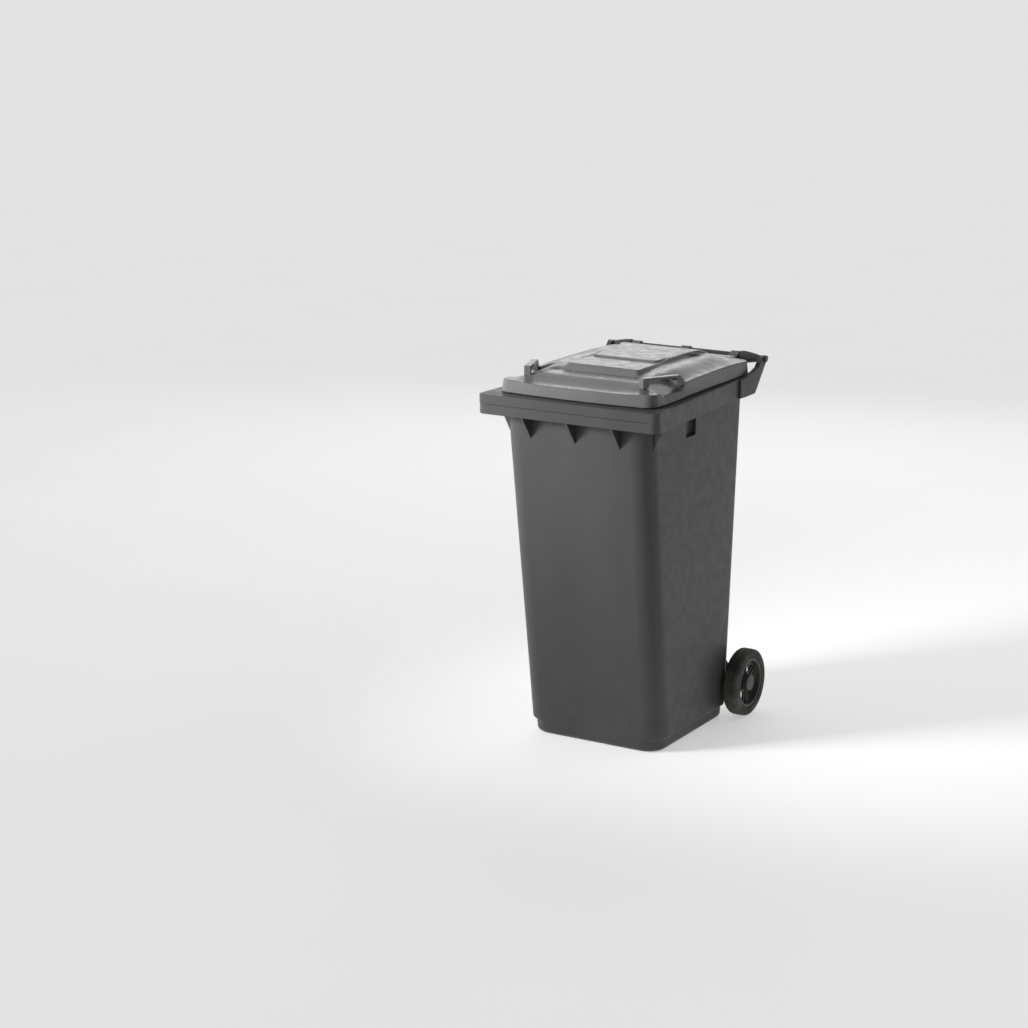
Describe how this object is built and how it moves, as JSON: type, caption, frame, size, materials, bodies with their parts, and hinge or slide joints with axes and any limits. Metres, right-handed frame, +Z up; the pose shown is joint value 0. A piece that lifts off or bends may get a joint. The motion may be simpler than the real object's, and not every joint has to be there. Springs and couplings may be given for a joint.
{
  "type": "wheelie bin",
  "caption": "Two-wheeled refuse bin: tapered plastic tub with a comb lip and ribs in front, a domed lid hinged at the back, an axle and rubber-tyred wheels.",
  "frame": {"origin": "on the floor under the middle of the outer box", "axes": "+Z up, -Y towards the comb lip at the front, +Y towards the handle and the wheels, +X to the right seen from the front looking at +Y"},
  "size_m": [0.568, 0.7378, 1.1],
  "materials": {
    "tub": "dark grey polyethylene with a fine grain, lightly glossy",
    "lid": "mid grey polyethylene, glossier than the tub",
    "pin": "black nylon",
    "wheel": "black polypropylene",
    "tyre": "solid black rubber",
    "rubber": "soft black rubber",
    "nylon": "natural nylon",
    "zinc_steel": "zinc-plated steel"
  },
  "bodies": {
    "tub": {"body": "tub", "hinge_pin_left": "pin", "hinge_pin_right": "pin", "lid_buffer_front_left": "rubber", "lid_buffer_front_right": "rubber", "lid_buffer_rear_left": "rubber", "lid_buffer_rear_right": "rubber"},
    "lid": {"lid": "lid"},
    "axle": {"axle": "zinc_steel", "axle_spacer_left": "nylon", "axle_spacer_right": "nylon", "axle_washer_left": "zinc_steel", "axle_washer_right": "zinc_steel", "push_nut_left": "zinc_steel", "push_nut_right": "zinc_steel"},
    "wheel_left": {"wheel_hub_left": "wheel", "tyre_left": "tyre", "wheel_bush_left": "nylon", "hub_cap_left": "wheel"},
    "wheel_right": {"wheel_hub_right": "wheel", "tyre_right": "tyre", "wheel_bush_right": "nylon", "hub_cap_right": "wheel"}
  },
  "joints": [
    {"name": "lid_hinge", "type": "hinge", "parent": "tub", "child": "lid", "pos_m": [0, 0.345, 1.06], "axis": [-1, 0, 0], "range_deg": [0, 270]},
    {"name": "axle_spin", "type": "hinge", "parent": "tub", "child": "axle", "pos_m": [0, 0.263, 0.1], "axis": [1, 0, 0], "continuous": true},
    {"name": "wheel_left_spin", "type": "hinge", "parent": "axle", "child": "wheel_left", "pos_m": [-0.253, 0.263, 0.1], "axis": [1, 0, 0], "continuous": true},
    {"name": "wheel_right_spin", "type": "hinge", "parent": "axle", "child": "wheel_right", "pos_m": [0.253, 0.263, 0.1], "axis": [1, 0, 0], "continuous": true}
  ]
}
